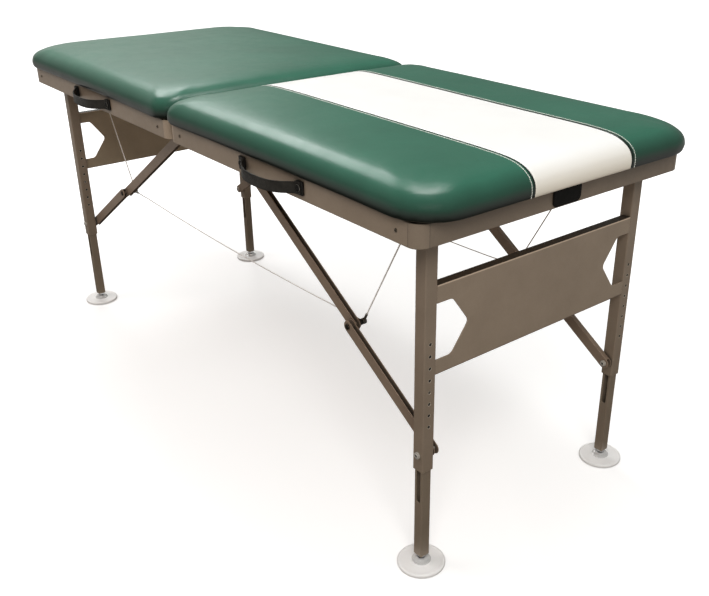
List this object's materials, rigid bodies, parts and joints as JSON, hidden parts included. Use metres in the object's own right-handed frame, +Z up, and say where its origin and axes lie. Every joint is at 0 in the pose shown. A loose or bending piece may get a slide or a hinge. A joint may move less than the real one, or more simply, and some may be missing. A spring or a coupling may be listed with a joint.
{
  "type": "folding treatment table",
  "caption": "Folding treatment table with padded vinyl top halves, a painted steel frame, height-adjustable braced legs, wire stays, carry straps and swivelling disc feet.",
  "frame": {"origin": "on the floor, midway between the four feet, under the centre hinge", "axes": "+X along the table to the half with the stripe, +Y to the back long side (the carry handles are on the front side, -Y), +Z up"},
  "size_m": [1.8282, 0.7861, 0.8423],
  "materials": {
    "right_upholstery": "smooth vinyl with a white stripe along its middle",
    "left_upholstery": "smooth vinyl",
    "frame_paint": "fine satin powder coat",
    "plywood": "raw plywood",
    "zinc_steel": "plated",
    "bolt_steel": "bright zinc",
    "button_steel": "plated",
    "hinge_black": "satin",
    "strap_black": "moulded strap",
    "wire_rope": "coated wire rope",
    "chrome": "polished",
    "cap_chrome": "polished",
    "foot_nylon": "moulded nylon"
  },
  "bodies": {
    "right_deck": {"right_side_rails": "frame_paint", "right_end_rail": "frame_paint", "right_hinge_rail": "frame_paint", "right_corner_connectors": "frame_paint", "right_deck_board": "plywood", "right_cushion": "right_upholstery", "right_pivot_brackets": "frame_paint", "right_deck_fasteners": "zinc_steel", "right_carry_handle": "strap_black", "right_short_cables": "wire_rope", "right_hinge_leaf": "hinge_black", "hinge_pin": "hinge_black", "long_cables": "wire_rope"},
    "left_deck": {"left_side_rails": "frame_paint", "left_end_rail": "frame_paint", "left_hinge_rail": "frame_paint", "left_corner_connectors": "frame_paint", "left_deck_board": "plywood", "left_cushion": "left_upholstery", "left_pivot_brackets": "frame_paint", "left_deck_fasteners": "zinc_steel", "left_carry_handle": "strap_black", "left_short_cables": "wire_rope", "left_hinge_leaf": "hinge_black"},
    "right_leg_frame": {"right_outer_legs": "frame_paint", "right_end_panel": "frame_paint", "right_leg_bolts": "bolt_steel"},
    "left_leg_frame": {"left_outer_legs": "frame_paint", "left_end_panel": "frame_paint", "left_leg_bolts": "bolt_steel"},
    "right_back_leg_extension": {"right_back_inner_leg": "frame_paint", "right_back_foot_stud": "chrome"},
    "right_back_foot": {"right_back_foot_disc": "foot_nylon", "right_back_foot_cap": "cap_chrome"},
    "right_back_height_button": {"right_back_snap_button": "button_steel"},
    "right_back_lower_brace": {"right_back_lower_brace_arm": "frame_paint"},
    "right_back_upper_brace": {"right_back_upper_brace_arm": "frame_paint"},
    "right_front_leg_extension": {"right_front_inner_leg": "frame_paint", "right_front_foot_stud": "chrome"},
    "right_front_foot": {"right_front_foot_disc": "foot_nylon", "right_front_foot_cap": "cap_chrome"},
    "right_front_height_button": {"right_front_snap_button": "button_steel"},
    "right_front_lower_brace": {"right_front_lower_brace_arm": "frame_paint"},
    "right_front_upper_brace": {"right_front_upper_brace_arm": "frame_paint"},
    "left_back_leg_extension": {"left_back_inner_leg": "frame_paint", "left_back_foot_stud": "chrome"},
    "left_back_foot": {"left_back_foot_disc": "foot_nylon", "left_back_foot_cap": "cap_chrome"},
    "left_back_height_button": {"left_back_snap_button": "button_steel"},
    "left_back_lower_brace": {"left_back_lower_brace_arm": "frame_paint"},
    "left_back_upper_brace": {"left_back_upper_brace_arm": "frame_paint"},
    "left_front_leg_extension": {"left_front_inner_leg": "frame_paint", "left_front_foot_stud": "chrome"},
    "left_front_foot": {"left_front_foot_disc": "foot_nylon", "left_front_foot_cap": "cap_chrome"},
    "left_front_height_button": {"left_front_snap_button": "button_steel"},
    "left_front_lower_brace": {"left_front_lower_brace_arm": "frame_paint"},
    "left_front_upper_brace": {"left_front_upper_brace_arm": "frame_paint"},
    "end_tab": {"closure_tab": "strap_black"}
  },
  "joints": [
    {"name": "centre_fold", "type": "hinge", "parent": "right_deck", "child": "left_deck", "pos_m": [0, 0, 0.7288], "axis": [0, -1, 0], "range_deg": [0, 90], "deforming": ["long_cables"]},
    {"name": "right_leg_fold", "type": "hinge", "parent": "right_deck", "child": "right_leg_frame", "pos_m": [0.822, 0, 0.754], "axis": [0, 1, 0], "range_deg": [0, 84.98], "deforming": ["right_short_cables", "long_cables"]},
    {"name": "left_leg_fold", "type": "hinge", "parent": "left_deck", "child": "left_leg_frame", "pos_m": [-0.822, 0, 0.754], "axis": [0, -1, 0], "range_deg": [0, 84.98], "deforming": ["left_short_cables", "long_cables"]},
    {"name": "right_back_lower_brace_turn", "type": "hinge", "parent": "right_leg_frame", "child": "right_back_lower_brace", "pos_m": [0.822, 0.291, 0.274], "axis": [0, 1, 0], "range_deg": [0, 55.07]},
    {"name": "right_back_upper_brace_turn", "type": "hinge", "parent": "right_deck", "child": "right_back_upper_brace", "pos_m": [0.06, 0.291, 0.754], "axis": [0, -1, 0], "range_deg": [0, 32.26]},
    {"name": "right_back_height_slide", "type": "slide", "parent": "right_leg_frame", "child": "right_back_leg_extension", "axis": [0, 0, 1], "range_m": [-0.0762, 0.1016]},
    {"name": "right_back_button_press", "type": "slide", "parent": "right_back_leg_extension", "child": "right_back_height_button", "axis": [-1, 0, 0], "range_m": [0, 0.0035], "stiffness_N_per_m": 1200, "springref_m": -0.002},
    {"name": "right_back_foot_tilt", "type": "hinge", "parent": "right_back_leg_extension", "child": "right_back_foot", "pos_m": [0.822, 0.291, 0.009], "axis": [0, 1, 0], "range_deg": [-10, 10]},
    {"name": "right_front_lower_brace_turn", "type": "hinge", "parent": "right_leg_frame", "child": "right_front_lower_brace", "pos_m": [0.822, -0.291, 0.274], "axis": [0, 1, 0], "range_deg": [0, 55.07]},
    {"name": "right_front_upper_brace_turn", "type": "hinge", "parent": "right_deck", "child": "right_front_upper_brace", "pos_m": [0.06, -0.291, 0.754], "axis": [0, -1, 0], "range_deg": [0, 32.26]},
    {"name": "right_front_height_slide", "type": "slide", "parent": "right_leg_frame", "child": "right_front_leg_extension", "axis": [0, 0, 1], "range_m": [-0.0762, 0.1016]},
    {"name": "right_front_button_press", "type": "slide", "parent": "right_front_leg_extension", "child": "right_front_height_button", "axis": [-1, 0, 0], "range_m": [0, 0.0035], "stiffness_N_per_m": 1200, "springref_m": -0.002},
    {"name": "right_front_foot_tilt", "type": "hinge", "parent": "right_front_leg_extension", "child": "right_front_foot", "pos_m": [0.822, -0.291, 0.009], "axis": [0, 1, 0], "range_deg": [-10, 10]},
    {"name": "left_back_lower_brace_turn", "type": "hinge", "parent": "left_leg_frame", "child": "left_back_lower_brace", "pos_m": [-0.822, 0.291, 0.274], "axis": [0, -1, 0], "range_deg": [0, 55.07]},
    {"name": "left_back_upper_brace_turn", "type": "hinge", "parent": "left_deck", "child": "left_back_upper_brace", "pos_m": [-0.06, 0.291, 0.754], "axis": [0, 1, 0], "range_deg": [0, 32.26]},
    {"name": "left_back_height_slide", "type": "slide", "parent": "left_leg_frame", "child": "left_back_leg_extension", "axis": [0, 0, 1], "range_m": [-0.0762, 0.1016]},
    {"name": "left_back_button_press", "type": "slide", "parent": "left_back_leg_extension", "child": "left_back_height_button", "axis": [-1, 0, 0], "range_m": [0, 0.0035], "stiffness_N_per_m": 1200, "springref_m": -0.002},
    {"name": "left_back_foot_tilt", "type": "hinge", "parent": "left_back_leg_extension", "child": "left_back_foot", "pos_m": [-0.822, 0.291, 0.009], "axis": [0, 1, 0], "range_deg": [-10, 10]},
    {"name": "left_front_lower_brace_turn", "type": "hinge", "parent": "left_leg_frame", "child": "left_front_lower_brace", "pos_m": [-0.822, -0.291, 0.274], "axis": [0, -1, 0], "range_deg": [0, 55.07]},
    {"name": "left_front_upper_brace_turn", "type": "hinge", "parent": "left_deck", "child": "left_front_upper_brace", "pos_m": [-0.06, -0.291, 0.754], "axis": [0, 1, 0], "range_deg": [0, 32.26]},
    {"name": "left_front_height_slide", "type": "slide", "parent": "left_leg_frame", "child": "left_front_leg_extension", "axis": [0, 0, 1], "range_m": [-0.0762, 0.1016]},
    {"name": "left_front_button_press", "type": "slide", "parent": "left_front_leg_extension", "child": "left_front_height_button", "axis": [-1, 0, 0], "range_m": [0, 0.0035], "stiffness_N_per_m": 1200, "springref_m": -0.002},
    {"name": "left_front_foot_tilt", "type": "hinge", "parent": "left_front_leg_extension", "child": "left_front_foot", "pos_m": [-0.822, -0.291, 0.009], "axis": [0, 1, 0], "range_deg": [-10, 10]},
    {"name": "end_tab_lift", "type": "hinge", "parent": "right_deck", "child": "end_tab", "pos_m": [0.8837, 0, 0.7753], "axis": [0, -1, 0], "range_deg": [0, 80]}
  ],
  "couplings": [
    {"joint": "right_back_lower_brace_turn", "follows": "right_leg_fold", "ratio": 0.64745},
    {"joint": "right_back_upper_brace_turn", "follows": "right_leg_fold", "ratio": 0.37901},
    {"joint": "right_front_lower_brace_turn", "follows": "right_leg_fold", "ratio": 0.64745},
    {"joint": "right_front_upper_brace_turn", "follows": "right_leg_fold", "ratio": 0.37901},
    {"joint": "left_back_lower_brace_turn", "follows": "left_leg_fold", "ratio": 0.64745},
    {"joint": "left_back_upper_brace_turn", "follows": "left_leg_fold", "ratio": 0.37901},
    {"joint": "left_front_lower_brace_turn", "follows": "left_leg_fold", "ratio": 0.64745},
    {"joint": "left_front_upper_brace_turn", "follows": "left_leg_fold", "ratio": 0.37901}
  ]
}
